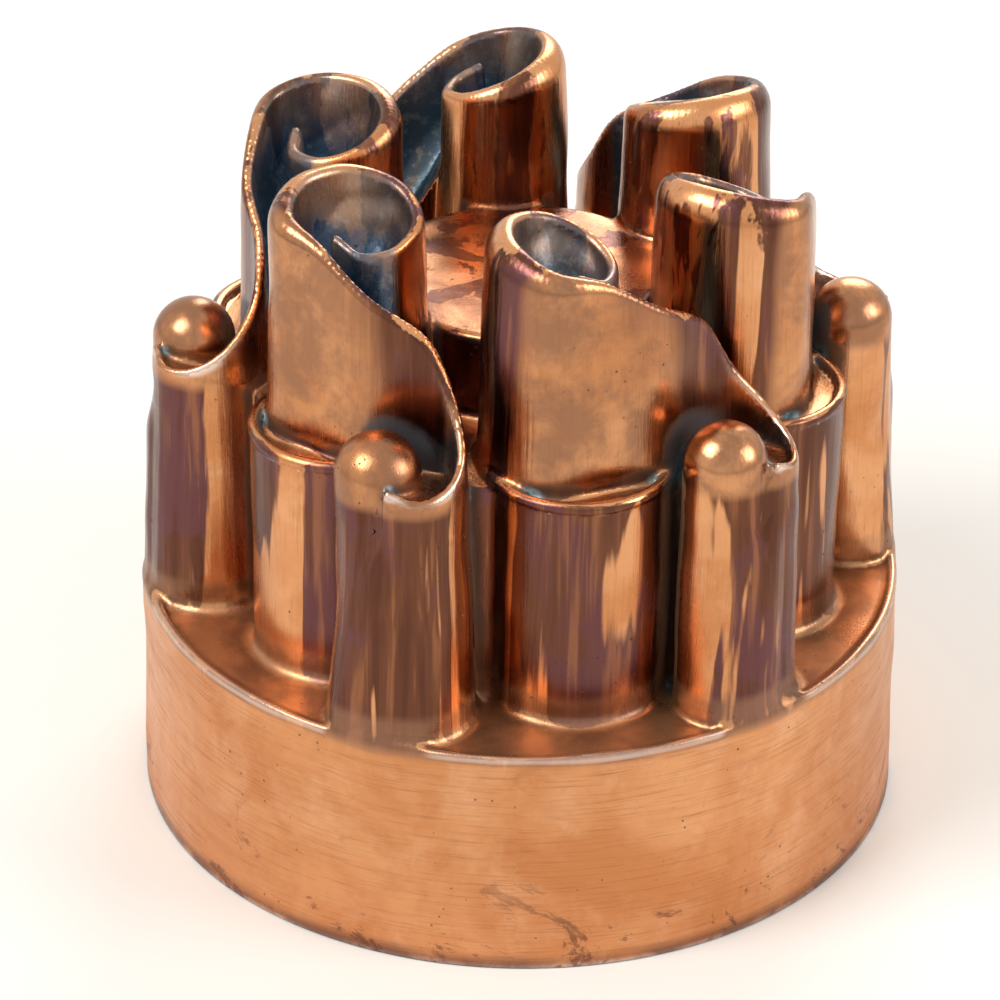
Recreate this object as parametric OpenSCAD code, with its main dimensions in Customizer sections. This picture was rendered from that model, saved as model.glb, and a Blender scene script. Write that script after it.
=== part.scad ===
// Copper jelly mould, stood open side down as it is stored.
// Origin at the middle of the open foot, +Z up, units mm.
// Angles in the plan are measured from the front (-Y) towards +X.
// The sheet is form(0) with form(wall) taken out, so every hollow follows its outside.

/* [Band] */
// outer diameter of the open foot
band_foot_d = 138; // [136:0.5:142]
// outer diameter of the band at the shelf
band_top_d = 136; // [135:0.5:138]
// height of the band
band_h = 42; // [34:1:50]
// thickness of the copper sheet
wall = 0.9; // [0.8:0.05:1.0]

/* [Large columns] */
// radius of a large column
large_r = 16.3; // [16:0.1:16.6]
// distance of its axis from the mould's axis
large_pos_r = 41.5; // [41:0.1:42]
// its direction from the front
large_angle = 13; // [12.5:0.1:13.5]
// height of the large columns above the shelf
large_h = 42.3; // [38:0.1:46]
// radius of the rolled bead on the edge of the ledge
bead_r = 1.2; // [1:0.1:1.4]
// distance of the bead's middle in from the column's face
bead_in = 0.8; // [0.6:0.1:0.9]

/* [Small columns] */
// radius of a small column and of the ball on it
ball_r = 7.4; // [7.2:0.1:7.6]
// distance of its axis from the mould's axis
ball_pos_r = 57.9; // [57.7:0.1:58.1]
// its direction from the front
ball_angle = 35.7; // [35.5:0.1:35.9]
// height of the ball's middle above the ledge
ball_rise = 4.3; // [3.5:0.1:5.5]
// how far the foot of the flared front stays in from the band's edge
flare_edge = 0.3; // [0.2:0.05:0.5]
// how far the flare's axis stands out from the small column's axis
flare_out = 1.6; // [1.4:0.1:1.8]
// how far the back of the curl stands out from the middle of its wall
flank_out = 2.4; // [2.3:0.1:2.6]
// height of the floor between ball and curl above the ledge
flank_rise = 2.4; // [2:0.1:3]

/* [Scrolls] */
// how far the coil's middle sits behind the axis of its large column
coil_in = 4.2; // [4:0.1:4.4]
// how far it is turned back from that axis, in degrees
coil_back = 1.7; // [1.5:0.1:1.9]
// radius at which the sheet starts inside the coil
coil_start_r = 4.8; // [4.6:0.1:5]
// radius at which the sheet leaves the coil
coil_end_r = 11; // [10.8:0.1:11.2]
// how much longer the coil is from front to back than across
coil_stretch = 1.13; // [1.1:0.01:1.15]
// mean height of the coil's rim above the ledge
rim_h = 38.3; // [36:0.1:40]
// how far the rim rises and falls round the coil
rim_tilt = 3.6; // [3:0.1:4]
// how far the sheet bulges forwards between the coil and the curl
bridge_out = 1.8; // [1.5:0.1:2]
// radius of the curl where it leaves the coil
curl_start_r = 11.8; // [11.6:0.1:12]
// radius of the curl behind the ball
curl_mid_r = 13.6; // [13.4:0.1:13.8]
// radius of the curl at its tip
curl_end_r = 8.6; // [8.5:0.1:8.8]
// height of the rim above the ledge where the curl starts
curl_start_h = 25.1; // [24:0.1:26]
// height of the rim above the ledge at the curl's tip
curl_end_h = 5.9; // [5.5:0.1:7]
// half the thickness of the rounded rim
lip_r = 1.2; // [1.15:0.05:1.3]
// how much fuller the rim's outer side is where the coil's sheet leaves it
swell = 2.8; // [2.4:0.1:3]
// draft of the scroll's outer side in degrees
draft_out = 1.2; // [0.8:0.1:1.4]
// draft of the scroll's inner side in degrees
draft_in = 2.2; // [2:0.1:2.4]

/* [Top] */
// radius of the platform inside the coils
platform_r = 26.5; // [25.5:0.1:27.5]
// height of the platform above the ledge
platform_h = 15.7; // [14:0.1:17]
// height of the cup's edge above the platform
cup_rise = 17; // [16:0.5:18]
// depth of the cup inside each coil
cup_depth = 13; // [11:0.5:14]
// radius of the cup's flat bottom
cup_floor_r = 2.5; // [2:0.1:3]
// height of the channel's floor above the ledge at the coil's middle
channel_h = 25.3; // [24:0.1:27]
// fall of the channel's floor in degrees
channel_fall = 50; // [47:1:53]

/* [Hidden] */
copper = [0.78, 0.47, 0.34];
$fn = 64;

// How far pieces run into one another.
lap = 1;
scrolls = 6;
foot_r = band_foot_d / 2;
shelf_r = band_top_d / 2;
ledge_z = band_h + large_h;
platform_z = ledge_z + platform_h;
ball_z = ledge_z + ball_rise;
rim_z = ledge_z + rim_h;
cup_top_z = platform_z + cup_rise;
cup_floor_z = cup_top_z - cup_depth;
// The flare leans out in this direction, and its top stays inside the small column.
flare_turn = 50;
flare_top_r = ball_r - flare_out - 0.4;
// The round body between the columns stops just behind the small ones.
core_r = ball_pos_r - ball_r - lap;

// Turn at which the coil starts and ends, and those of the curl round the ball.
coil_turn = [22, 393];
curl_turn = [203, 73];
// How quickly the coil opens, the turn at which its rim is highest, and how far it climbs from start to end.
coil_opening = 2.2;
rim_tilt_turn = 270;
rim_climb = 2;
// Height at which the curl's rim runs behind the ball.
curl_mid_h = curl_end_h + lip_r;
channel_turn = 10;

// Control points along the coil and the curl, and stations between two of them.
coil_steps = 8;
curl_steps = 5;
stations = 3;
coil_end = coil_steps * stations;
curl_start = coil_end + 2 * stations;
channel_end = curl_start + stations;
// Stations between which the rim's outer side is fuller.
swell_from = 3 * stations;
swell_to = curl_start + stations;
// The coil's fill runs past the middle of its wall by this much.
fill_grow = 0.8;

function polar(r, a) = [r * sin(a), -r * cos(a)];
large_mid = polar(large_pos_r, large_angle);
coil_mid = polar(large_pos_r - coil_in, large_angle - coil_back);
ball_mid = polar(ball_pos_r, ball_angle);
flare_mid = ball_mid + polar(flare_out, flare_turn);
flare_r = shelf_r - flare_edge - norm(flare_mid);

// Value that runs through a, b and c at 0, a half and 1.
function through(a, b, c, t) = a * (1 - t) * (1 - 2 * t) + b * 4 * t * (1 - t) + c * t * (2 * t - 1);

// Control points of the rim: the coil opens quickly and then runs nearly round, and its rim is tilted.
function coil_point(t) =
    let (turn = coil_turn[0] + (coil_turn[1] - coil_turn[0]) * t,
         r = coil_end_r - (coil_end_r - coil_start_r) * pow(1 - t, coil_opening),
         z = rim_z + rim_tilt * cos(turn - rim_tilt_turn) + rim_climb * (t - 0.5),
         out = polar(r, turn))
    [coil_mid[0] + out[0], coil_mid[1] + coil_stretch * out[1], z];
function curl_point(t) =
    let (turn = curl_turn[0] + (curl_turn[1] - curl_turn[0]) * t,
         r = through(curl_start_r, curl_mid_r, curl_end_r, t),
         z = ledge_z + through(curl_start_h, curl_mid_h, curl_end_h, t))
    concat(ball_mid + polar(r, turn), z);
// Point half way between coil and curl, bulged forwards.
function bridge_point() =
    let (a = coil_point(1), b = curl_point(0), d = b - a, across = [d[1], -d[0]] / norm([d[0], d[1]]))
    (a + b) / 2 + bridge_out * concat(across, 0);
rim = concat([for (i = [0 : coil_steps]) coil_point(i / coil_steps)],
             [bridge_point()],
             [for (i = [0 : curl_steps]) curl_point(i / curl_steps)]);

// Smooth curve through the control points.
function at(p, i) = i < 0 ? 2 * p[0] - p[1]
    : i >= len(p) ? 2 * p[len(p) - 1] - p[len(p) - 2]
    : p[i];
function blend(a, b, c, d, t) =
    0.5 * (2 * b + (c - a) * t + (2 * a - 5 * b + 4 * c - d) * t * t + (3 * b - a - 3 * c + d) * t * t * t);
function smooth(p, n) = concat(
    [for (i = [0 : len(p) - 2], j = [0 : n - 1])
        blend(at(p, i - 1), p[i], p[i + 1], at(p, i + 2), j / n)],
    [p[len(p) - 1]]);
path = smooth(rim, stations);

// Unit direction along the plan of a path, and the side to its left.
function along(p, i) =
    let (d = at(p, i + 1) - at(p, i - 1), f = [d[0], d[1]])
    f / norm(f);
function left(p, i) = let (d = along(p, i)) [-d[1], d[0]];
// Point beside the path in the plan, out to its left.
function beside(i, out) = [path[i][0], path[i][1]] + out * left(path, i);

// How much fuller the rim's outer side is at a station.
function fuller(i) = i <= swell_from || i >= swell_to ? 0
    : swell * sin(180 * (i - swell_from) / (swell_to - swell_from));

// Cross-section of the scroll's wall at a station: a rounded rim and two sides with draft.
// The sheet inside the coil stands on the fill, the rest runs down to the ledge.
function wall_section(i, inset) =
    let (w = lip_r - inset,
         w_out = w + fuller(i),
         top = path[i][2] - inset,
         foot = (i < stations ? platform_z : ledge_z) - lap - inset,
         deep_in = top - w - foot,
         deep_out = top - w_out - foot,
         lip_out = [for (a = [90 : -30 : 30]) [-w_out * sin(a), top - w_out * (1 - cos(a))]],
         lip_in = [for (a = [0 : 45 : 90]) [w * sin(a), top - w * (1 - cos(a))]])
    [for (s = concat([[-w_out - deep_out * tan(draft_out), foot]], lip_out, lip_in,
                     [[w + deep_in * tan(draft_in), foot]]))
        concat(beside(i, s[0]), s[1])];

// Solid through a row of sections that all have the same number of corners.
module loft(sections) {
    n = len(sections[0]);
    last = len(sections) - 1;
    corners = [for (s = sections, p = s) p];
    ends = [[for (i = [n - 1 : -1 : 0]) i], [for (i = [0 : n - 1]) last * n + i]];
    sides = [for (k = [0 : last - 1], i = [0 : n - 1], half = [0, 1])
        let (a = k * n + i, b = k * n + (i + 1) % n)
        half == 0 ? [a, b, a + n] : [b, b + n, a + n]];
    polyhedron(points = corners, faces = concat(ends, sides));
}

// Stations left out at an end of the inner form, so that the sheet closes it.
function trim(inset) = inset > 0 ? 1 : 0;

// Scroll wall from its start inside the coil to its tip by the ball.
module scroll_wall(inset) {
    loft([for (i = [trim(inset) : len(path) - 1 - trim(inset)]) wall_section(i, inset)]);
}

// Fill inside the coil, out past the middle of its wall, with the cup sunk in it.
module coil_core(inset) {
    first = 2 * (1 - trim(inset));
    difference() {
        translate([0, 0, ledge_z - lap - inset])
            linear_extrude(height = cup_top_z - ledge_z + lap)
                polygon([for (i = [first : coil_end - 2 + first]) beside(i, -fill_grow)]);
        translate([coil_mid[0], coil_mid[1], cup_floor_z - inset])
            cylinder(r1 = cup_floor_r + inset, r2 = coil_end_r + inset, h = cup_depth + lap);
    }
}

// Floor of the channel that runs out of the cup and falls to the ledge behind the ball.
module channel(inset) {
    reach = 2 * foot_r;
    outside = [for (i = [coil_end - 2 + trim(inset) : channel_end - trim(inset)]) beside(i, 0)];
    inside = [for (i = [2 * stations - trim(inset) : -1 : trim(inset)]) beside(i, 0)];
    intersection() {
        translate([0, 0, ledge_z - lap - inset])
            linear_extrude(height = cup_top_z - ledge_z)
                polygon(concat(outside, inside));
        translate([coil_mid[0], coil_mid[1], ledge_z + channel_h - inset])
            rotate([0, channel_fall, channel_turn])
                translate([-reach / 2, -reach / 2, -reach / 2])
                    cube([reach, reach, reach / 2]);
    }
}

// Back of the curl, carried straight down to the shelf, and run smoothly into the small column's front.
module flank_plan(inset) {
    last = len(path) - 1 - trim(inset);
    tip = beside(last, flank_out - inset) - ball_mid;
    tip_turn = atan2(tip[0], -tip[1]);
    polygon(concat(
        [ball_mid],
        [for (i = [curl_start + trim(inset) : last]) beside(i, flank_out - inset)],
        [for (t = [0.25 : 0.25 : 1])
            ball_mid + polar(norm(tip) + (ball_r - lap - inset - norm(tip)) * t, tip_turn * (1 - t))]));
}

// Plan of the body and the large columns, between the shelf and the ledge.
module drum_plan(inset) {
    circle(r = core_r - inset);
    for (k = [0 : scrolls - 1]) rotate(k * 360 / scrolls)
        translate(large_mid) circle(r = large_r - inset);
}

// Rolled bead that stands on the edge of the ledge.
module bead() {
    translate([large_mid[0], large_mid[1], ledge_z])
        rotate_extrude()
            translate([large_r - bead_in, 0]) circle(r = bead_r);
}

// Flared front of a small column, which runs out to the band's edge.
module flare(inset) {
    translate([flare_mid[0], flare_mid[1], band_h - inset])
        cylinder(r1 = flare_r - inset, r2 = flare_top_r - inset, h = ball_z - band_h);
    translate([flare_mid[0], flare_mid[1], band_h - lap - inset])
        cylinder(r = flare_r - inset, h = lap);
}

// Whole outside of the mould, moved in by inset. With an inset it runs out through the open foot.
module form(inset) {
    low = -lap * trim(inset);
    drum_foot = inset > 0 ? -lap : band_h - lap;
    translate([0, 0, low])
        cylinder(r1 = foot_r - inset, r2 = shelf_r - inset, h = band_h - inset - low);
    translate([0, 0, drum_foot])
        linear_extrude(height = ledge_z - inset - drum_foot)
            drum_plan(inset);
    translate([0, 0, drum_foot])
        cylinder(r = platform_r - inset, h = platform_z - inset - drum_foot);
    for (k = [0 : scrolls - 1]) rotate(k * 360 / scrolls) {
        flare(inset);
        translate([0, 0, drum_foot])
            linear_extrude(height = ledge_z + flank_rise - inset - drum_foot)
                flank_plan(inset);
        translate([ball_mid[0], ball_mid[1], drum_foot])
            cylinder(r = ball_r - inset, h = ball_z - drum_foot);
        translate([ball_mid[0], ball_mid[1], ball_z]) sphere(r = ball_r - inset);
        coil_core(inset);
        channel(inset);
        scroll_wall(inset);
    }
}

module mould() {
    color(copper) difference() {
        union() {
            form(0);
            for (k = [0 : scrolls - 1]) rotate(k * 360 / scrolls) bead();
        }
        form(wall);
    }
}

mould();
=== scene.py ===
"""Copper jelly mould: fine mesh, worn copper, soft studio light and the photograph's camera."""
import math
import bpy
import numpy as np
from mathutils import Matrix, Vector


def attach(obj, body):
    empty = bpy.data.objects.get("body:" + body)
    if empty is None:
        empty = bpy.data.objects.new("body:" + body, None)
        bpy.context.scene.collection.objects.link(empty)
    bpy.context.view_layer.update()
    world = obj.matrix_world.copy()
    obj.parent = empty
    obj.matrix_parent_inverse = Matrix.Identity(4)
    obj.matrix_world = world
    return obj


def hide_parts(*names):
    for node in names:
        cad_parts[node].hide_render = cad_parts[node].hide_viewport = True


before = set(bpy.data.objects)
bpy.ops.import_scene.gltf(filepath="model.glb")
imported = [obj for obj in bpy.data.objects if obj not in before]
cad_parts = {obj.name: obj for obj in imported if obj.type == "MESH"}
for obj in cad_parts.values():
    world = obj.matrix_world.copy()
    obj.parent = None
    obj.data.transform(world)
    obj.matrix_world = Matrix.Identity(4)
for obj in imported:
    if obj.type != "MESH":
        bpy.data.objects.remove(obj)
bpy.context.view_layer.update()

# Sizes in mm and turns in degrees, as in the part's source. A turn runs from -Y towards +X.
# Whole mould.
SCROLLS = 6
UNIT_TURN = 60
UNITS_NEAR = (-1, 0, 1)
FOOT_R = 69.0
SHELF_R = 68.0
BAND_H = 42.0
SHELF_LIP = 0.8
WALL = 0.9
CORE_R = 49.3
PLATFORM_R = 26.5
PLATFORM_Z = 100.0
# Large column and the bead round its top.
LARGE_R = 16.3
LARGE_POS = (41.5, 13.0)
LEDGE_Z = 84.3
LEDGE_SINK = 0.5
BEAD_R = 1.2
BEAD_IN = 0.8
# Small column, its ball and its flare.
BALL_R = 7.4
BALL_POS = (57.9, 35.7)
BALL_Z = 88.6
FLARE_R = 8.9
FLARE_OUT = 1.9
FLARE_TURN = 50.0
FLARE_INSET = 0.5
FLARE_DOWN = 8
# Scroll's rim: coil, bridge and curl.
COIL_POS = (37.3, 11.3)
COIL_STRETCH = 1.13
COIL_R = (4.8, 11.0)
COIL_TURN = (22.0, 393.0)
COIL_EASE = 2.2
RIM_Z = 122.6
RIM_TILT = 3.6
RIM_CLIMB = 2.0
RIM_TILT_TURN = 270.0
BRIDGE_OUT = 1.8
CURL_R = (11.8, 13.6, 8.6)
CURL_TURN = (203.0, 73.0)
CURL_Z = (109.4, 91.4, 90.2)
COIL_STEPS = 8
CURL_STEPS = 5
SPLINE_STEPS = 10
# Scroll's wall. A mark counts the rim's main points from the coil's inner end.
LIP_R = 1.2
TIP_R = 0.85
TIP_MARKS = (9, 14)
SWELL = 2.6
SWELL_MARKS = (2.3, 8.6)
SWELL_POWER = 1.6
RISE_OUT = 1.5
RISE_IN = 1.1
DRAFT_OUT = 1.6
DRAFT_FLANK = 2.2
DRAFT_IN = 7.0
DRAFT_CURL = 18.0
IN_MARKS = (8.5, 10.5)
OUT_MARKS = (11, 13)
FADE = 0.8
FADE_DEPTH = 6
FADE_MARKS = (9.5, 11.0)
WALL_DOWN = 4
WALL_REACH = 6
NEAR = 30
# Channel round the ball, and the flank under the curl.
CURL_FLOOR_Z = 86.6
FLOOR_RUN = (84.8, 88.0)
FLOOR_TURN = 215
FLOOR_SPREAD = 140
FLANK_FIRST = 100
FLANK_PULL = 0.35
FLANK_PULL_DEPTH = 8
FLANK_FRONT_TURN = 15
FLANK_FRONT_IN = 0.4
FLANK_QUICK = (1.0, 3.0)
FLANK_JOIN_Z = 84
FLANK_JOIN_DEPTH = 12
# Cup and channel inside the scroll.
FILL_SPAN = (20, 108, 3)
CUP_RISE = 9
CUP_REACH = 8.5
CUP_DEPTH = 10.5
# Roundings and blends between the parts.
ROUND_TOP = 1.0
ROUND_EDGE = 0.8
ROUND_BAND = 1.2
ROUND_PLATFORM = 2.0
ROUND_FILL = 0.6
ROUND_WALL_FOOT = 0.5
BLEND_CORE = 1.0
BLEND_BEAD = 0.4
BLEND_FLANK = 1.2
BLEND_SHELF = 2.4
BLEND_PLATFORM = 3.0
BLEND_SMALL = 0.9
BLEND_OUT = 1.3
BLEND_CUP = 6.5
BLEND_CUP_IN = 3
BLEND_CUP_Z = (86, 92)
FAR = 9.0
# Grids of the nets: columns round a unit, rings, levels and the lowest level.
OUTER_GRID = (84, 84, 112)
OUTER_LOW = 36.0
INNER_GRID = (40, 40, 56)
INNER_LOW = 34.0
LINING_IN = 1.35
NET_TOP = 129.0
NET_R = 70.5
NET_TURN = (-14, 46)
NET_AXIS_R = 0.01
BAND_ROWS = 25
BAND_SETTLE = 6
BAND_SLOPE = 0.024
FOOT_WORN = 2.5
EDGE_ROWS = 3
# The skin stays a little inside the solids' box.
BOX_R = 68.95
BOX_TOP = 126.49
SHEET_IN = 0.12
SETTLE_H = 3
MM = 0.001
# Reach of the painted marks, in mm: crevices, rims, deep places and seams.
CREVICE = 3.0
RIM = 1.6
DEEP = 9.0
SEAM = 1.2
HOLLOW_MOST = 1.6
CUP_EDGE = 1.2
CUP_LOW = 84
CUP_BLUR = 4


def polar(r, turn):
    """Point in the plan at a radius and a turn."""
    a = np.radians(turn)
    return np.array([r * np.sin(a), -r * np.cos(a)])


LARGE_MID = polar(*LARGE_POS)
COIL_MID = polar(*COIL_POS)
BALL_MID = polar(*BALL_POS)
FLARE_MID = BALL_MID + polar(FLARE_OUT, FLARE_TURN)


def through(a, b, c, t):
    """Parabola through three values at t = 0, 0.5 and 1."""
    return a * (1 - t) * (1 - 2 * t) + b * 4 * t * (1 - t) + c * t * (2 * t - 1)


def coil_point(t):
    """Point of the coil's rim, from its inner end at 0 to the bridge at 1."""
    turn = COIL_TURN[0] + (COIL_TURN[1] - COIL_TURN[0]) * t
    r = COIL_R[1] - (COIL_R[1] - COIL_R[0]) * (1 - t) ** COIL_EASE
    x, y = polar(r, turn)
    z = RIM_Z + RIM_TILT * np.cos(np.radians(turn - RIM_TILT_TURN)) + RIM_CLIMB * (t - 0.5)
    return np.array([COIL_MID[0] + x, COIL_MID[1] + COIL_STRETCH * y, z])


def curl_point(t):
    """Point of the curl's rim, from the bridge at 0 to its tip at 1."""
    turn = CURL_TURN[0] + (CURL_TURN[1] - CURL_TURN[0]) * t
    x, y = polar(through(*CURL_R, t), turn)
    return np.array([BALL_MID[0] + x, BALL_MID[1] + y, through(*CURL_Z, t)])


def rim_path():
    """The rim as a smooth path through its main points, with the mark of each point."""
    coil = [coil_point(i / COIL_STEPS) for i in range(COIL_STEPS + 1)]
    curl = [curl_point(i / CURL_STEPS) for i in range(CURL_STEPS + 1)]
    a, b = coil[-1], curl[0]
    across = np.array([b[1] - a[1], a[0] - b[0]])
    across = across / np.linalg.norm(across)
    mid = (a + b) / 2
    mid[:2] += across * BRIDGE_OUT
    p = np.array(coil + [mid] + curl)
    out = []
    marks = []
    for i in range(len(p) - 1):
        p0 = p[i - 1] if i else 2 * p[0] - p[1]
        p3 = p[i + 2] if i + 2 < len(p) else 2 * p[-1] - p[-2]
        for j in range(SPLINE_STEPS):
            t = j / SPLINE_STEPS
            # Cubic through the two middle points, with its slopes set by their neighbours.
            out.append(0.5 * (2 * p[i] + (p[i + 1] - p0) * t + (2 * p0 - 5 * p[i] + 4 * p[i + 1] - p3) * t * t
                              + (3 * p[i] - p0 - 3 * p[i + 1] + p3) * t ** 3))
            marks.append(i + t)
    out.append(p[-1])
    marks.append(len(p) - 1)
    return np.array(out), np.array(marks)


PATH, MARK = rim_path()


def smooth_step(x):
    """Smooth way from 0 to 1."""
    x = np.clip(x, 0, 1)
    return x * x * (3 - 2 * x)


def between(x, ends):
    """Smooth way from 0 to 1 while x goes from one end to the other."""
    return smooth_step((x - ends[0]) / (ends[1] - ends[0]))


def swell(mark):
    """How much fuller the wall's outer side is."""
    s = np.clip((mark - SWELL_MARKS[0]) / (SWELL_MARKS[1] - SWELL_MARKS[0]), 0, 1)
    return SWELL * np.sin(np.pi * s) ** SWELL_POWER


def lip(mark):
    """Half the rim's thickness, which thins out towards the curl's tip."""
    return LIP_R + (TIP_R - LIP_R) * between(mark, TIP_MARKS)


def inner_draft(mark):
    """Slope of the left side: the coil's cup, then the curl's steep outer face."""
    return np.tan(np.radians(DRAFT_IN + (DRAFT_OUT - DRAFT_IN) * between(mark, IN_MARKS)))


def outer_draft(mark):
    """Slope of the right side: the coil's steep outer face, then the curl's channel round the ball."""
    return np.tan(np.radians(DRAFT_OUT + (DRAFT_CURL - DRAFT_OUT) * between(mark, OUT_MARKS)))


def turned(p, k):
    """Points in the plan, turned by some units."""
    a = np.radians(UNIT_TURN * k)
    c, s = np.cos(a), np.sin(a)
    return np.stack([p[..., 0] * c - p[..., 1] * s, p[..., 0] * s + p[..., 1] * c], -1)


def in_each(values):
    """The same values for each of the neighbouring units."""
    return np.tile(values, len(UNITS_NEAR))


# Segments of the rim in the neighbouring units: starts, ends and ways in the plan.
SEG_FROM = np.concatenate([turned(PATH[:-1, :2], k) for k in UNITS_NEAR])
SEG_TO = np.concatenate([turned(PATH[1:, :2], k) for k in UNITS_NEAR])
SEG_WAY = SEG_TO - SEG_FROM
SEG_LENGTH_2 = (SEG_WAY ** 2).sum(1)
# Their heights and half widths at both ends, the slopes of both sides and their share of the curl.
Z_FROM = in_each(PATH[:-1, 2])
Z_TO = in_each(PATH[1:, 2])
LIP_FROM = in_each(lip(MARK[:-1]))
LIP_TO = in_each(lip(MARK[1:]))
FULL_FROM = LIP_FROM + in_each(swell(MARK[:-1]))
FULL_TO = LIP_TO + in_each(swell(MARK[1:]))
SLOPE_LEFT = in_each(inner_draft(MARK[:-1]))
SLOPE_RIGHT = in_each(outer_draft(MARK[:-1]))
IN_CURL = in_each(between(MARK[:-1], FADE_MARKS))


def wall(p, z):
    """Scroll's wall: a rounded rim on two drafted sides, the right one fuller."""
    off = p[:, None, :] - SEG_FROM[None]
    t = np.clip((off * SEG_WAY[None]).sum(2) / SEG_LENGTH_2[None], 0, 1)
    q = off - t[..., None] * SEG_WAY[None]
    d2 = (q ** 2).sum(2)
    # Only the nearest segments are worked out in full.
    pick = np.argpartition(d2, NEAR, axis=1)[:, :NEAR]
    row = np.arange(len(p))[:, None]
    t = t[row, pick]
    q = q[row, pick]
    away = np.sqrt(d2[row, pick])
    right = SEG_WAY[pick, 0] * q[..., 1] - SEG_WAY[pick, 1] * q[..., 0] < 0
    full = FULL_FROM[pick] + t * (FULL_TO[pick] - FULL_FROM[pick])
    thin = LIP_FROM[pick] + t * (LIP_TO[pick] - LIP_FROM[pick])
    width = np.where(right, full, thin)
    rise = np.where(right, RISE_OUT, RISE_IN) * width
    below = Z_FROM[pick] + t * (Z_TO[pick] - Z_FROM[pick]) - z[:, None]
    cap = (np.sqrt((away / width) ** 2 + ((rise - below) / rise) ** 2) - 1) * width
    slope = np.where(right, SLOPE_RIGHT[pick], SLOPE_LEFT[pick])
    fade = FADE * IN_CURL[pick] * smooth_step((CURL_FLOOR_Z - z[:, None]) / FADE_DEPTH)
    body = away - width - (below - rise) * slope + fade
    return np.where(below < rise, cap, body).min(1)


def smin(a, b, k):
    """Union of two forms, blended over a width."""
    h = np.clip(0.5 + 0.5 * (b - a) / k, 0, 1)
    return b + (a - b) * h - k * h * (1 - h)


def smax(a, b, k):
    """What two forms share, with a rounded edge."""
    return -smin(-a, -b, k)


def sd_poly(p, v):
    """Signed distance to a polygon in the plan, negative inside."""
    best = np.full(len(p), 1e9)
    inside = np.zeros(len(p), bool)
    for i in range(len(v)):
        a = v[i]
        b = v[(i + 1) % len(v)]
        e = b - a
        w = p - a
        t = np.clip((w @ e) / (e @ e), 0, 1)
        q = w - t[:, None] * e
        best = np.minimum(best, (q ** 2).sum(1))
        cross = ((a[1] > p[:, 1]) != (b[1] > p[:, 1])) & (
            p[:, 0] < (b[0] - a[0]) * (p[:, 1] - a[1]) / (b[1] - a[1] + 1e-12) + a[0])
        inside ^= cross
    d = np.sqrt(best)
    return np.where(inside, -d, d)


def flank_polygon(quick):
    """Back of the curl in the plan at the height of its floor, run into the small column's front."""
    last = len(PATH) - 1
    pts = []
    for i in range(FLANK_FIRST, last + 1, 3):
        j0, j1 = max(i - 1, 0), min(i + 1, last)
        d = PATH[j1, :2] - PATH[j0, :2]
        d = d / np.linalg.norm(d)
        w = lip(MARK[i]) + swell(MARK[i])
        out = w + max(PATH[i, 2] - RISE_OUT * w - CURL_FLOOR_Z, 0) * np.tan(np.radians(DRAFT_OUT))
        pts.append(PATH[i, :2] + out * np.array([-d[1], d[0]]))
    tip = pts[-1] - BALL_MID
    r1 = np.hypot(*tip)
    a1 = np.degrees(np.arctan2(tip[0], -tip[1]))
    for j in range(1, 7):
        r = r1 + (BALL_R - FLANK_FRONT_IN - r1) * smooth_step(quick * j / 6)
        pts.append(BALL_MID + polar(r, a1 + (FLANK_FRONT_TURN - a1) * j / 6))
    pts.append(BALL_MID)
    return np.array(pts)


FLANK = flank_polygon(FLANK_QUICK[0])
FLANK_TOP = flank_polygon(FLANK_QUICK[1])
# What lies inside the scroll in the plan.
FILL = np.array([PATH[i, :2] for i in range(*FILL_SPAN)])
# Lowest line of the cup's floor and of the channel that leaves it.
SPINE = np.array([
    [*COIL_MID, 108.0],
    [5.4, -42.5, 107.0],
    [9.0, -45.6, 106.0],
    [14.0, -43.6, 103.5],
    [19.0, -39.3, 97.5],
    [24.0, -36.0, 91.0],
    [29.0, -33.0, 85.2],
    [34.0, -29.5, 83.0],
])


def floor_height(p):
    """Floor of the cup and of the channel that leaves it."""
    best = np.full(len(p), np.inf)
    z = np.zeros(len(p))
    for i in range(len(SPINE) - 1):
        a = SPINE[i]
        e = SPINE[i + 1] - a
        w = p - a[:2]
        t = np.clip((w @ e[:2]) / (e[:2] @ e[:2]), 0, 1)
        q = w - t[:, None] * e[:2]
        d = np.sqrt((q ** 2).sum(1))
        near = d < best
        z = np.where(near, a[2] + t * e[2], z)
        best = np.minimum(best, d)
    return z + np.minimum(CUP_RISE * (best / CUP_REACH) ** 2, CUP_DEPTH)


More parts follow.
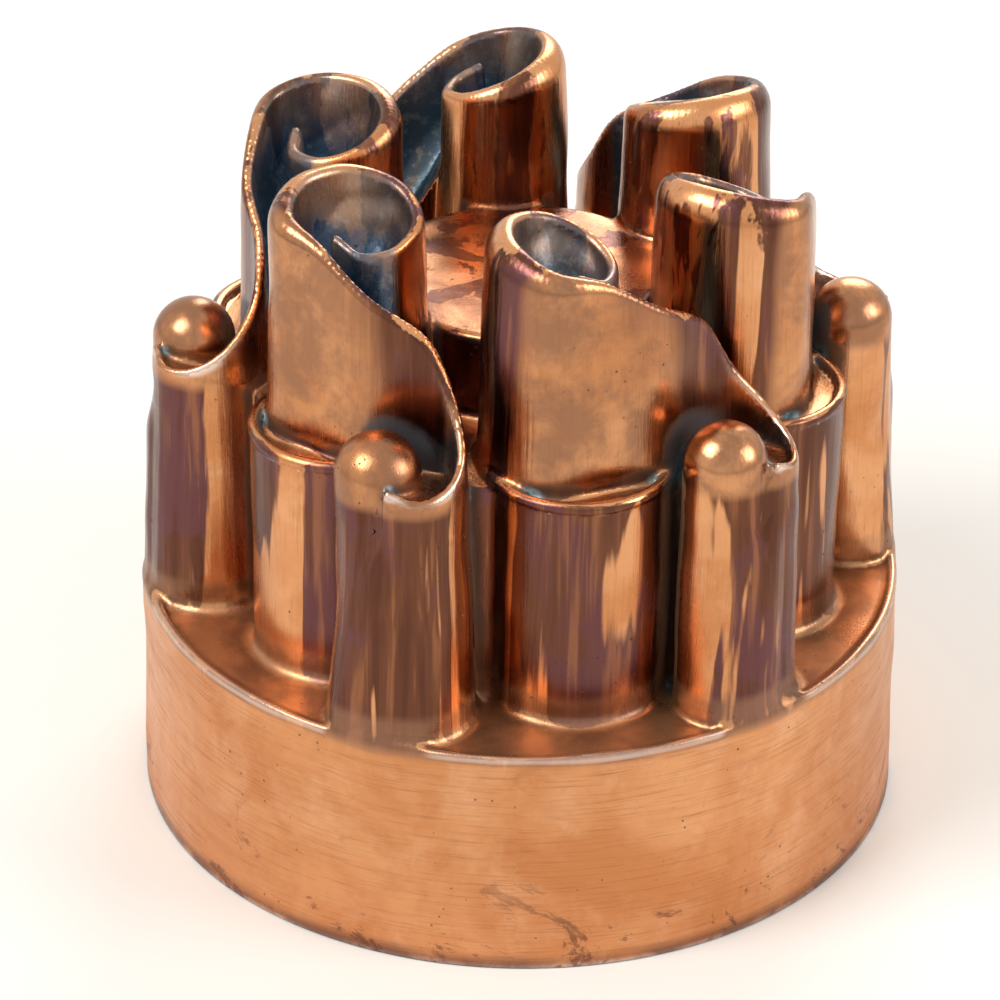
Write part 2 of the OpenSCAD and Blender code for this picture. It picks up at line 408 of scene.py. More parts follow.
def unit(p, z):
    """Columns, bead, flank and fill of one unit in its own frame, and the fill's outline in the plan."""
    d = np.hypot(p[:, 0] - LARGE_MID[0], p[:, 1] - LARGE_MID[1])
    large = smax(d - LARGE_R, z - (LEDGE_Z - LEDGE_SINK), ROUND_EDGE)
    bead = np.hypot(d - (LARGE_R - BEAD_IN), z - LEDGE_Z) - BEAD_R
    d = np.hypot(p[:, 0] - BALL_MID[0], p[:, 1] - BALL_MID[1])
    small = np.hypot(d, np.maximum(z - BALL_Z, 0)) - BALL_R
    d = np.hypot(p[:, 0] - FLARE_MID[0], p[:, 1] - FLARE_MID[1])
    flare_top = BALL_Z - FLARE_DOWN
    up = np.clip((z - BAND_H) / (flare_top - BAND_H), 0, 1)
    flare_r = FLARE_R + (BALL_R - FLARE_OUT - FLARE_INSET - FLARE_R) * up
    small = smin(small, np.maximum(d - flare_r, z - flare_top), ROUND_EDGE)
    down = np.maximum(CURL_FLOOR_Z - z, 0)
    wider = down * np.tan(np.radians(DRAFT_FLANK))
    wider = wider - FLANK_PULL * smooth_step(1 - down / FLANK_PULL_DEPTH)
    share = smooth_step((FLANK_JOIN_Z - z) / FLANK_JOIN_DEPTH)
    plan = sd_poly(p, FLANK) * share + sd_poly(p, FLANK_TOP) * (1 - share)
    turn = np.degrees(np.arctan2(p[:, 0] - BALL_MID[0], BALL_MID[1] - p[:, 1])) % 360
    climb = smooth_step((FLOOR_TURN - turn) / FLOOR_SPREAD)
    floor = FLOOR_RUN[0] + (FLOOR_RUN[1] - FLOOR_RUN[0]) * climb
    flank = smax(plan - wider, z - floor, ROUND_TOP)
    inside = sd_poly(p, FILL)
    fill = smax(inside, z - floor_height(p), ROUND_FILL)
    return large, bead, small, flank, fill, inside


def outside_r(z):
    """Outer radius of the band, which tapers a little."""
    return FOOT_R + (SHELF_R - FOOT_R) * np.clip(z / BAND_H, 0, 1)


def inside_r(z):
    """Inner radius of the band."""
    return outside_r(z) - WALL


def form(x, y, z):
    """Whole outer form at points given in the frame of unit 0."""
    p = np.stack([x, y], -1)
    r = np.hypot(x, y)
    band = smax(r - outside_r(z), z - BAND_H, ROUND_BAND)
    rolled = np.hypot(r - (SHELF_R - SHELF_LIP), z - BAND_H) - SHELF_LIP
    core = smax(r - CORE_R, z - (LEDGE_Z - LEDGE_SINK), ROUND_TOP)
    platform = smax(r - PLATFORM_R, z - PLATFORM_Z, ROUND_PLATFORM)
    parts = [unit(turned(p, -k), z) for k in UNITS_NEAR]
    large, bead, small, flank, fill, inside = (np.minimum.reduce([q[i] for q in parts]) for i in range(6))
    small = smax(small, r - SHELF_R, ROUND_EDGE)
    flank = smax(flank, r - SHELF_R, ROUND_EDGE)
    f = smin(core, large, BLEND_CORE)
    f = smin(f, bead, BLEND_BEAD)
    f = smin(f, flank, BLEND_FLANK)
    f = smin(f, smin(band, rolled, ROUND_EDGE), BLEND_SHELF)
    f = smin(f, platform, BLEND_PLATFORM)
    f = smin(f, fill, BLEND_FLANK)
    f = smin(f, small, BLEND_SMALL)
    high = z > LEDGE_Z - WALL_REACH
    w = np.full(len(x), FAR)
    if high.any():
        w[high] = wall(p[high], z[high])
        w[high] = smax(w[high], (LEDGE_Z - WALL_DOWN) - z[high], ROUND_WALL_FOOT)
        w[high] = smax(w[high], r[high] - SHELF_R, ROUND_EDGE)
    in_cup = smooth_step(-inside / BLEND_CUP_IN) * between(z, BLEND_CUP_Z)
    return smin(f, w, BLEND_OUT + (BLEND_CUP - BLEND_OUT) * in_cup)


def lining(x, y, z):
    """Inner face of the sheet, as a level inside the outer form."""
    return form(x, y, z) + LINING_IN


def batch(fn, x, y, z, size=4000):
    """A form at many points, worked out in lots that fit in memory."""
    out = np.empty(len(x))
    for i in range(0, len(x), size):
        s = slice(i, i + size)
        out[s] = fn(x[s], y[s], z[s])
    return out


def sampled(fn, T, Rr, Z, step=3, far=4.5):
    """The form at every node of the grid, worked out in full only near the surface."""
    def at(t, r, z):
        return batch(fn, (r * np.sin(t)).ravel(), (-r * np.cos(t)).ravel(), z.ravel()).reshape(t.shape)
    pick = [sorted(set(list(range(0, n, step)) + [n - 1])) for n in T.shape]
    grid = np.ix_(*pick)
    F = at(T[grid], Rr[grid], Z[grid])
    for axis, n in enumerate(T.shape):
        whole = np.arange(n)
        below = np.searchsorted(pick[axis], whole, side="right") - 1
        below = np.minimum(below, len(pick[axis]) - 2)
        low = np.array(pick[axis])[below]
        high = np.array(pick[axis])[below + 1]
        share = ((whole - low) / (high - low)).reshape([-1 if a == axis else 1 for a in range(3)])
        F = np.take(F, below, axis) * (1 - share) + np.take(F, below + 1, axis) * share
    near = np.abs(F) < far
    F[near] = batch(fn, (Rr[near] * np.sin(T[near])), (-Rr[near] * np.cos(T[near])), Z[near])
    return F


def net(fn, z_low, nt, nr, nz):
    """Surface net of fn = 0 in one unit's sector, on a grid of rings: points, quads and the points' cells."""
    th = np.radians(np.linspace(*NET_TURN, nt + 1))
    rr = np.linspace(NET_AXIS_R, NET_R, nr + 1)
    zz = np.linspace(z_low, NET_TOP, nz + 1)
    T, Rr, Z = np.meshgrid(th[:-1], rr, zz, indexing="ij")
    F = sampled(fn, T, Rr, Z)
    F = np.concatenate([F, F[:1]], 0)
    S = F < 0
    c = [S[i:nt + i, j:nr + j, k:nz + k] for i in (0, 1) for j in (0, 1) for k in (0, 1)]
    count = np.sum(c, 0)
    cell = (count > 0) & (count < 8)
    idx = np.full(cell.shape, -1)
    ci, cj, ck = np.nonzero(cell)
    idx[ci, cj, ck] = np.arange(len(ci))
    acc = np.zeros((len(ci), 3))
    num = np.zeros(len(ci))
    corner = [(0, 0, 0), (1, 0, 0), (0, 1, 0), (1, 1, 0), (0, 0, 1), (1, 0, 1), (0, 1, 1), (1, 1, 1)]
    for a in range(8):
        for b in range(a + 1, 8):
            va, vb = np.array(corner[a]), np.array(corner[b])
            if abs(va - vb).sum() != 1:
                continue
            fa = F[ci + va[0], cj + va[1], ck + va[2]]
            fb = F[ci + vb[0], cj + vb[1], ck + vb[2]]
            hit = (fa < 0) != (fb < 0)
            t = np.where(hit, fa / np.where(hit, fa - fb, 1), 0)
            acc += np.where(hit[:, None], va + t[:, None] * (vb - va), 0)
            num += hit
    g = acc / num[:, None]
    tt = np.interp(ci + g[:, 0], np.arange(nt + 1), th)
    r = np.interp(cj + g[:, 1], np.arange(nr + 1), rr)
    z = np.interp(ck + g[:, 2], np.arange(nz + 1), zz)
    verts = np.stack([r * np.sin(tt), -r * np.cos(tt), z], 1)
    n = len(verts)
    quads = []

    def get(i, j, k):
        wrap = (i < 0).astype(int)
        return idx[i % nt, j, k] - wrap * n

    # Edges along the ring, the radius and the height, each with its four cells.
    i, j, k = np.nonzero(S[:nt, 1:-1, 1:-1] != S[1:, 1:-1, 1:-1])
    flip = S[i, j + 1, k + 1]
    q = np.stack([get(i, j, k), get(i, j + 1, k), get(i, j + 1, k + 1), get(i, j, k + 1)], 1)
    quads.append(np.where(flip[:, None], q[:, ::-1], q))
    i, j, k = np.nonzero(S[:nt, :-1, 1:-1] != S[:nt, 1:, 1:-1])
    flip = S[i, j, k + 1]
    q = np.stack([get(i - 1, j, k), get(i, j, k), get(i, j, k + 1), get(i - 1, j, k + 1)], 1)
    quads.append(np.where(flip[:, None], q, q[:, ::-1]))
    i, j, k = np.nonzero(S[:nt, 1:-1, :-1] != S[:nt, 1:-1, 1:])
    flip = S[i, j + 1, k]
    q = np.stack([get(i - 1, j, k), get(i, j, k), get(i, j + 1, k), get(i - 1, j + 1, k)], 1)
    quads.append(np.where(flip[:, None], q[:, ::-1], q))
    return verts, np.concatenate(quads), idx, n


def gradient(fn, v, e=0.05):
    """A form and its gradient at some points."""
    f0 = batch(fn, v[:, 0], v[:, 1], v[:, 2])
    g = np.empty_like(v)
    for a in range(3):
        w = v.copy()
        w[:, a] += e
        g[:, a] = (batch(fn, w[:, 0], w[:, 1], w[:, 2]) - f0) / e
    return f0, g


def even_normals(fn, v, e=0.3):
    """Normals from a wide difference, which evens out small creases."""
    g = np.empty_like(v)
    for a in range(3):
        shift = np.zeros(3)
        shift[a] = e
        g[:, a] = batch(fn, *(v + shift).T) - batch(fn, *(v - shift).T)
    return g / np.linalg.norm(g, axis=1)[:, None]


def project(fn, v, steps=4, reach=0.7):
    """Points moved onto the surface, each by no more than the reach in a step."""
    v = v.copy()
    for _ in range(steps):
        f, g = gradient(fn, v)
        g2 = (g ** 2).sum(1)
        move = (f / np.maximum(g2, 0.05))[:, None] * g
        size = np.linalg.norm(move, axis=1)
        move *= np.minimum(1, reach / np.maximum(size, 1e-9))[:, None]
        v -= move
    return v


# Sines that make the hand-worked sheet slightly uneven: direction, wavelength in mm, height in mm and phase.
rng = np.random.RandomState(7)
WAVES = []
for length, height, number in ((34.0, 0.05, 6), (17.0, 0.026, 8), (9.0, 0.014, 10)):
    for _ in range(number):
        d = rng.normal(size=3)
        d /= np.linalg.norm(d)
        WAVES.append((d * 2 * np.pi / (length * rng.uniform(0.8, 1.25)), height, rng.uniform(0, 2 * np.pi)))


def unevenness(v):
    """Height of the uneven sheet at each point, in mm, and its gradient."""
    h = np.zeros(len(v))
    g = np.zeros_like(v)
    for k, a, phase in WAVES:
        s = v @ k + phase
        h += a * np.sin(s)
        g += a * np.cos(s)[:, None] * k
    return h, g


def hollow(fn, v, n, reach):
    """How enclosed each point is: 0 in the open, 1 deep in a crevice."""
    f = batch(fn, *(v + n * reach).T)
    return np.clip(1 - f / reach, 0, HOLLOW_MOST) / HOLLOW_MOST


def crest(fn, v, n, reach):
    """How sharp the form is under each point: 0 on a flat, 1 on a rim."""
    f = batch(fn, *(v - n * reach).T)
    return np.clip(1 + f / reach, 0, 1)


def cup_part(v):
    """How far inside the scroll each point lies: 1 on the floors and inner walls of cup and channel."""
    inside = np.full(len(v), FAR)
    for k in UNITS_NEAR:
        inside = np.minimum(inside, sd_poly(turned(v[:, :2], -k), FILL))
    return np.clip(-inside / CUP_EDGE, 0, 1) * np.clip((v[:, 2] - CUP_LOW) / CUP_BLUR, 0, 1)


def copied(v, k):
    """Points or normals of unit 0, turned to another unit."""
    a = np.radians(UNIT_TURN * k)
    c, s = np.cos(a), np.sin(a)
    m = np.array([[c, -s, 0], [s, c, 0], [0, 0, 1]])
    return v @ m.T


def build(name, verts, faces, normals, marks):
    """Mesh object from points in mm, with its own normals and two sets of painted marks."""
    me = bpy.data.meshes.new(name)
    me.from_pydata((verts * MM).tolist(), [], faces.tolist())
    me.polygons.foreach_set("use_smooth", np.ones(len(faces), bool))
    me.normals_split_custom_set_from_vertices(normals.tolist())
    for layer_name, columns in (("marks", [0, 1, 2]), ("parts", [3, 4, 5])):
        layer = me.color_attributes.new(layer_name, "FLOAT_COLOR", "POINT")
        values = np.ones((len(marks), 4))
        values[:, :3] = marks[:, columns]
        layer.data.foreach_set("color", values.ravel())
    me.update()
    ob = bpy.data.objects.new(name, me)
    bpy.context.scene.collection.objects.link(ob)
    return ob


def triangles(verts, quads):
    """Each quad cut along its shorter diagonal."""
    a, b, c, d = (verts[quads[:, i]] for i in range(4))
    short = ((a - c) ** 2).sum(1) <= ((b - d) ** 2).sum(1)
    one = np.where(short[:, None], quads[:, [0, 1, 2]], quads[:, [0, 1, 3]])
    two = np.where(short[:, None], quads[:, [0, 2, 3]], quads[:, [1, 2, 3]])
    t = np.concatenate([one, two])
    keep = (t[:, 0] != t[:, 1]) & (t[:, 1] != t[:, 2]) & (t[:, 0] != t[:, 2])
    return t[keep]


def skin(fn, z_low, rows_to, columns, rings, levels):
    """Points, faces, normals, marks and foot of one skin, with all units and the band below them."""
    v, q, idx, n = net(fn, z_low, columns, rings, levels)
    v = project(fn, v)
    nrm = even_normals(fn, v)
    outward = (nrm[:, 0] * v[:, 0] + nrm[:, 1] * v[:, 1]) / np.hypot(v[:, 0], v[:, 1])
    marks = np.stack([
        # Crevice and deep marks: how enclosed each point is, which darkens the hollows as painted shade.
        hollow(fn, v, nrm, CREVICE),
        # The rim mark lays pale worn copper with a painted highlight on the crests.
        crest(fn, v, nrm, RIM),
        hollow(fn, v, nrm, DEEP),
        np.clip(outward, 0, 1),
        cup_part(v),
        hollow(fn, v, nrm, SEAM),
    ], 1)
    lowest = idx[:, :, 0].max(1)
    ring = v[lowest]
    verts = [copied(v, k) for k in range(SCROLLS)]
    norms = [copied(nrm, k) for k in range(SCROLLS)]
    quads = [(q + k * n) % (SCROLLS * n) for k in range(SCROLLS)]
    all_marks = [marks] * SCROLLS
    total = columns * SCROLLS
    # The middle of the platform closes the hole that the rings leave at the axis.
    inner = idx[:, 0, :].max(1)
    centre = len(np.concatenate(verts))
    verts.append(np.array([[0, 0, v[inner, 2].mean()]]))
    norms.append(np.array([[0, 0, 1.0]]))
    all_marks.append(np.zeros((1, 6)))
    fan = []
    for k in range(SCROLLS):
        loop = inner + k * n
        nxt = np.append(inner[1:] + k * n, inner[0] + ((k + 1) % SCROLLS) * n)
        fan.append(np.stack([np.full(columns, centre), loop, nxt, nxt], 1))
    quads.append(np.concatenate(fan))
    # Plain rows of the band below the net, down to the foot.
    ring_all = np.concatenate([copied(ring, k) for k in range(SCROLLS)])
    ring_ids = np.concatenate([lowest + k * n for k in range(SCROLLS)])
    turn = np.arctan2(ring_all[:, 0], -ring_all[:, 1])
    above = ring_ids
    off = np.hypot(ring_all[:, 0], ring_all[:, 1])
    start = off - rows_to(ring_all[:, 2])
    top_z = ring_all[:, 2]
    first = centre + 1
    for s in np.linspace(1, 0, BAND_ROWS + 1)[1:]:
        z = top_z * s
        r = rows_to(z) + start * s ** BAND_SETTLE
        verts.append(np.stack([r * np.sin(turn), -r * np.cos(turn), z], 1))
        norms.append(np.stack([np.sin(turn), -np.cos(turn), np.full(total, BAND_SLOPE)], 1))
        # The foot's worn edge takes the rim mark, so it gets the pale rim colour with its painted highlight
        # too.
        worn = np.clip(1 - z / FOOT_WORN, 0, 1)
        flat = worn * 0
        all_marks.append(np.stack([flat, worn, flat, flat + 1, flat, flat], 1))
        ids = first + np.arange(total)
        quads.append(np.stack([above, np.roll(above, -1), np.roll(ids, -1), ids], 1)[:, ::-1])
        above = ids
        first += total
    verts = np.concatenate(verts)
    norms = np.concatenate(norms)
    norms /= np.linalg.norm(norms, axis=1)[:, None]
    marks = np.concatenate(all_marks)
    faces = triangles(verts, np.concatenate(quads))
    return verts, faces, norms, marks, above


def roughen(verts, norms):
    """The slightly uneven surface, with its normals tilted to match. The foot stays on the floor."""
    h, g = unevenness(verts)
    settle = np.clip(verts[:, 2] / SETTLE_H, 0, 1)
    h = (h - SHEET_IN) * settle
    g = g * settle[:, None]
    slope = g - (g * norms).sum(1)[:, None] * norms
    out = verts + norms * h[:, None]
    n = norms - slope
    return out, n / np.linalg.norm(n, axis=1)[:, None]


def inside_box(verts):
    """The points, kept a hair inside the box of the solids."""
    r = np.hypot(verts[:, 0], verts[:, 1])
    inward = np.minimum(1, BOX_R / np.maximum(r, 1e-9))
    return np.stack([verts[:, 0] * inward, verts[:, 1] * inward, np.clip(verts[:, 2], 0, BOX_TOP)], 1)


def part_of(name, verts, faces, norms, marks, keep):
    """Mesh object from some of the faces."""
    used, again = np.unique(faces[keep], return_inverse=True)
    return build(name, verts[used], again.reshape(-1, 3), norms[used], marks[used])


def foot_edge(ring):
    """Flat ring under the sheet's edge, which joins the two skins."""
    n = len(ring)
    turn = np.arctan2(ring[:, 0], -ring[:, 1])
    rows = []
    for t in np.linspace(0, 1, EDGE_ROWS + 1):
        r = BOX_R - (FOOT_R - BOX_R + WALL) * t
        rows.append(np.stack([r * np.sin(turn), -r * np.cos(turn), np.zeros(n)], 1))
    points = np.concatenate(rows)
    ids = np.arange(n)
    after = np.roll(ids, -1)
    quads = [np.stack([ids + k * n, after + k * n, after + (k + 1) * n, ids + (k + 1) * n], 1)
             for k in range(EDGE_ROWS)]
    down = np.tile([0.0, 0.0, -1.0], (len(points), 1))
    # The flat ring takes the full rim mark, so it gets the pale rim colour with its painted highlight.
    worn = np.tile([0.0, 1.0, 0.0, 1.0, 0.0, 0.0], (len(points), 1))
    return build("mould_foot_edge", points, triangles(points, np.concatenate(quads)), down, worn)


verts, faces, norms, marks, foot = skin(form, OUTER_LOW, outside_r, *OUTER_GRID)
verts, norms = roughen(verts, norms)
verts = inside_box(verts)
# The outside is cut into two pieces, so that each stays light.
upper = verts[faces].mean(1)[:, 2] > LEDGE_Z
outer_top = part_of("mould_scrolls", verts, faces, norms, marks, upper)
outer_low = part_of("mould_outside", verts, faces, norms, marks, ~upper)

in_verts, in_faces, in_norms, in_marks, _ = skin(lining, INNER_LOW, inside_r, *INNER_GRID)
inner_ob = build("mould_lining", in_verts, in_faces[:, ::-1], -in_norms, in_marks)
edge_ob = foot_edge(verts[foot])


# Tones of the copper, from clean to soiled, with painted shade, painted dark reflections and painted
# highlights among them.
TAN = (0.70, 0.33, 0.15, 1)
TAN_DEEP = (0.58, 0.235, 0.09, 1)
TAN_PALE = (0.80, 0.45, 0.26, 1)
SCRATCH = (0.36, 0.145, 0.06, 1)
DARK_TARNISH_AND_REFLECTION = (0.075, 0.026, 0.020, 1)
WARM_BROWN = (0.16, 0.060, 0.034, 1)
PURPLE_TARNISH_AND_REFLECTION = (0.115, 0.045, 0.062, 1)
SHELF_BROWN = (0.42, 0.215, 0.115, 1)
KNOB = (0.27, 0.125, 0.070, 1)
SOIL_AND_SHADE_BROWN = (0.085, 0.036, 0.016, 1)
CUP_BROWN = (0.24, 0.19, 0.155, 1)
CUP_BLUE = (0.035, 0.11, 0.20, 1)
CUP_TEAL = (0.045, 0.10, 0.11, 1)
CUP_PALE = (0.30, 0.33, 0.32, 1)
BLUE_DARK = (0.05, 0.13, 0.18, 1)
BLUE_PALE = (0.34, 0.47, 0.48, 1)
RIM_WEAR_AND_HIGHLIGHT = (0.97, 0.78, 0.68, 1)
PIT = (0.07, 0.03, 0.02, 1)
BLOTCH = (0.15, 0.062, 0.045, 1)
# Tones of the tin lining and of the floor.
TIN_PALE = (0.62, 0.60, 0.57, 1)
TIN_GREY = (0.40, 0.38, 0.36, 1)
TIN_WORN = (0.58, 0.33, 0.21, 1)
TIN_DARK = (0.22, 0.20, 0.18, 1)
FLOOR_TONE = (0.86, 0.84, 0.80, 1)
# Where the patches of tarnish and painted dark reflection lie, and the depth of the fine relief in m.
COIL_SHARE = 0.4
PATCH_SHIFT = (7.0, 4.5, 0.6)
BUMP_STRENGTH = 0.4
COPPER_RELIEF = 0.0002
TIN_RELIEF = 0.0003


class Nodes:
    """Short calls for building a material's node tree."""

    def __init__(self, name):
        self.material = bpy.data.materials.new(name)
        self.material.use_nodes = True
        self.tree = self.material.node_tree
        self.tree.nodes.clear()
        self.where = self.node("ShaderNodeTexCoord").outputs["Object"]

    def node(self, kind, **values):
        made = self.tree.nodes.new(kind)
        for key, value in values.items():
            setattr(made, key, value)
        return made

    def put(self, made, socket, value):
        """Links a socket to a value from another node, or sets it to a plain value."""
        if isinstance(value, bpy.types.NodeSocket):
            self.tree.links.new(value, made.inputs[socket])
        elif value is not None:
            made.inputs[socket].default_value = value

    def math(self, what, a, b=None, clamp=False):
        made = self.node("ShaderNodeMath", operation=what, use_clamp=clamp)
        self.put(made, 0, a)
        self.put(made, 1, b)
        return made.outputs[0]

    def plus(self, a, b, clamp=False):
        return self.math("ADD", a, b, clamp)

    def less(self, a, b, clamp=False):
        return self.math("SUBTRACT", a, b, clamp)

    def times(self, a, b):
        return self.math("MULTIPLY", a, b)

    def most(self, a, b):
        return self.math("MAXIMUM", a, b)

    def swing(self, value, amount):
        """A value round 0.5, turned into one round zero."""
        return self.times(self.less(value, 0.5), amount)

    def mix(self, share, a, b):
        made = self.node("ShaderNodeMix", data_type="RGBA")
        self.put(made, 0, share)
        self.put(made, 6, a)
        self.put(made, 7, b)
        return made.outputs[2]

    def ramp(self, value, low, high, to_low=0.0, to_high=1.0):
        """Smooth step from one level to another while the value goes from low to high."""
        made = self.node("ShaderNodeMapRange", interpolation_type="SMOOTHSTEP")
        for socket, number in enumerate((value, low, high, to_low, to_high)):
            self.put(made, socket, number)
        return made.outputs[0]

    def noise(self, where, scale, detail=4.0, rough=0.55, warp=0.0):
        made = self.node("ShaderNodeTexNoise")
        self.put(made, "Vector", where)
        self.put(made, "Scale", scale)
        self.put(made, "Detail", detail)
        self.put(made, "Roughness", rough)
        self.put(made, "Distortion", warp)
        return made.outputs["Fac"]

    def scaled(self, where, x, y, z):
        made = self.node("ShaderNodeMapping")
        self.put(made, "Vector", where)
        made.inputs["Scale"].default_value = (x, y, z)
        return made.outputs[0]

    def painted(self, name):
        """The three values that the mesh carries under this name."""
        split = self.node("ShaderNodeSeparateColor")
        self.put(split, 0, self.node("ShaderNodeAttribute", attribute_name=name).outputs["Color"])
        return split.outputs[0], split.outputs[1], split.outputs[2]

    def output(self, shader):
        out = self.node("ShaderNodeOutputMaterial")
        self.put(out, 0, shader.outputs[0])
        return self.material

    def metal(self, base, metallic, rough, relief, relief_m):
        """The material of a metal with a fine relief."""
        bump = self.node("ShaderNodeBump")
        self.put(bump, "Strength", BUMP_STRENGTH)
        self.put(bump, "Distance", relief_m)
        self.put(bump, "Height", relief)
        shader = self.node("ShaderNodeBsdfPrincipled")
        self.put(shader, "Base Color", base)
        self.put(shader, "Metallic", metallic)
        self.put(shader, "Roughness", rough)
        self.put(shader, "Normal", bump.outputs[0])
        return self.output(shader)


class Copper(Nodes):
    """Old polished copper, laid on in coats, from clean sheet to patina, with painted shade, painted dark
    reflections and painted highlights among the coats. Heights and radii are in m.
    """

    def __init__(self):
        super().__init__("worn_copper")
        self.crevice, self.rim, self.deep = self.painted("marks")
        self.outward, self.cup, self.seam = self.painted("parts")
        xyz = self.node("ShaderNodeSeparateXYZ")
        self.put(xyz, 0, self.where)
        x, y, self.height = xyz.outputs[0], xyz.outputs[1], xyz.outputs[2]
        self.turn = self.math("ARCTAN2", x, y)
        self.radius = self.math("SQRT", self.plus(self.times(x, x), self.times(y, y)))
        self.band = self.ramp(self.height, 0.0400, 0.0430, 1.0, 0.0)
        self.cloud = self.noise(self.where, 40.0, 5.0, 0.6, 0.6)
        self.spots = self.noise(self.where, 95.0, 6.0, 0.65, 0.3)
        self.fine = self.noise(self.where, 420.0, 4.0, 0.7)
        self.thin = self.noise(self.scaled(self.where, 330, 330, 14), 1.0, 3.0, 0.6, 0.3)
        self.grain = self.scratches()
        self.clean()
        self.tarnish_and_painted_reflections()
        self.soiling_and_painted_shade()
        self.cups()
        self.seams()
        self.worn_rims_and_highlights()
        self.pitting()
        self.surface()

    def lay(self, share, tone):
        """One more coat over what is there."""
        self.base = self.mix(share, self.base, tone)

    def scratches(self):
        """Fine scratches: round the axis on the band, and upright above it."""
        around = self.node("ShaderNodeCombineXYZ")
        self.put(around, 0, self.times(self.turn, SHELF_R * MM))
        self.put(around, 1, self.radius)
        self.put(around, 2, self.height)
        on_band = self.noise(self.scaled(around.outputs[0], 14, 40, 460), 6.0, 5.0, 0.72)
        above = self.noise(self.scaled(self.where, 460, 460, 20), 4.5, 5.0, 0.66)
        both = self.node("ShaderNodeMix", data_type="FLOAT")
        self.put(both, 0, self.band)
        self.put(both, 2, above)
        self.put(both, 3, on_band)
        return both.outputs[0]

    def clean(self):
        """Tan copper with paler, redder and scratched places."""
        self.base = self.mix(self.ramp(self.cloud, 0.35, 0.68), TAN, TAN_DEEP)
        self.lay(self.times(self.ramp(self.spots, 0.45, 0.75), 0.45), TAN_PALE)
        strength = self.plus(self.times(self.band, 0.25), 0.45)
        self.lay(self.times(self.ramp(self.grain, 0.48, 0.78), strength), SCRATCH)

    def tarnish_and_painted_reflections(self):
        """Upright bands of tarnish and painted dark reflection above the band, most on outward faces, and
        patches of the same on the scrolls.
        """
        streak = self.noise(self.scaled(self.where, 85, 85, 9), 1.0, 3.0, 0.5, 0.7)
        # Painted dark reflection: outward faces and the scrolls lean darker.
        lean = self.times(self.less(self.outward, 0.68), 0.40)
        lean = self.plus(lean, self.ramp(self.height, 0.080, 0.088, 0.0, 0.075))
        amount = self.plus(self.plus(streak, lean), self.swing(self.thin, 0.22))
        dark = self.times(self.ramp(amount, 0.495, 0.535), self.less(1.0, self.band))
        on_scroll = self.ramp(self.height, 0.0855, 0.0900)
        dark = self.most(dark, self.times(self.tarnish_and_reflection_patches(), on_scroll))
        # The balls are rubbed to an even brown instead.
        knob = self.times(self.ramp(self.radius, 0.0485, 0.0505), self.ramp(self.height, 0.0845, 0.0875))
        self.lay(self.times(knob, self.ramp(self.spots, 0.36, 0.62, 0.2, 0.85)), KNOB)
        dark = self.times(dark, self.less(1.0, knob))
        self.lay(self.times(dark, 0.94), self.tarnish_and_reflection_tone())

    def tarnish_and_reflection_patches(self):
        """Patches of tarnish and painted dark reflection, more of them on each coil's front."""
        apart = self.node("ShaderNodeVectorMath", operation="ADD")
        self.put(apart, 0, self.scaled(self.where, 62, 62, 20))
        self.put(apart, 1, PATCH_SHIFT)
        patch = self.noise(apart.outputs[0], 1.0, 5.0, 0.62, 1.4)
        # The way round, as a share of one unit. It is half at the coil's front.
        share = self.math("FRACT", self.less(COIL_SHARE, self.times(self.turn, SCROLLS / (2 * np.pi))))
        off_front = self.math("ABSOLUTE", self.less(share, 0.5))
        front = self.times(self.ramp(off_front, 0.06, 0.18, 1.0, -0.6), 0.11)
        amount = self.plus(self.plus(patch, front), self.swing(self.thin, 0.35))
        return self.ramp(amount, 0.50, 0.54)

    def tarnish_and_reflection_tone(self):
        """Purple-brown tone of the tarnish and the painted dark reflections, with thin warmer and scratched
        lines.
        """
        tone = self.mix(self.ramp(self.thin, 0.35, 0.7), DARK_TARNISH_AND_REFLECTION, WARM_BROWN)
        purple = self.ramp(self.plus(self.cloud, self.times(self.thin, 0.5)), 0.70, 0.84)
        tone = self.mix(self.times(purple, 0.75), tone, PURPLE_TARNISH_AND_REFLECTION)
        return self.mix(self.times(self.ramp(self.thin, 0.56, 0.66), 0.5), tone, SCRATCH)

    def soiling_and_painted_shade(self):
        """Dark brown in the hollows, part soiling and part painted shade; a browner shelf, darker where it
        lies deep, part dirt and part painted shade; and brown blotches on the platform.
        """
        # Painted shade with soiling: the crevice mark darkens every hollow, broken up by spots.
        self.soil_and_shade = self.ramp(self.plus(self.crevice, self.swing(self.spots, 0.6)), 0.22, 0.55)
        self.lay(self.times(self.soil_and_shade, 0.75), SOIL_AND_SHADE_BROWN)
        from_below = self.ramp(self.height, 0.0405, 0.0412)
        self.shelf = self.times(from_below, self.ramp(self.height, 0.046, 0.0485, 1.0, 0.0))
        self.lay(self.times(self.shelf, 0.35), SHELF_BROWN)
        # Painted shade with dirt: the shelf darkens more where the deep mark finds it enclosed.
        dirt = self.ramp(self.plus(self.spots, self.times(self.deep, 0.4)), 0.48, 0.80)
        self.lay(self.times(self.times(self.shelf, dirt), 0.55), SOIL_AND_SHADE_BROWN)
        near_axis = self.ramp(self.radius, 0.023, 0.028, 1.0, 0.0)
        platform = self.times(near_axis, self.ramp(self.height, 0.093, 0.098))
        browned = self.ramp(self.plus(self.cloud, self.times(self.spots, 0.5)), 0.60, 0.86, 0.45, 1.0)
        self.lay(self.times(self.times(platform, browned), 0.75), WARM_BROWN)

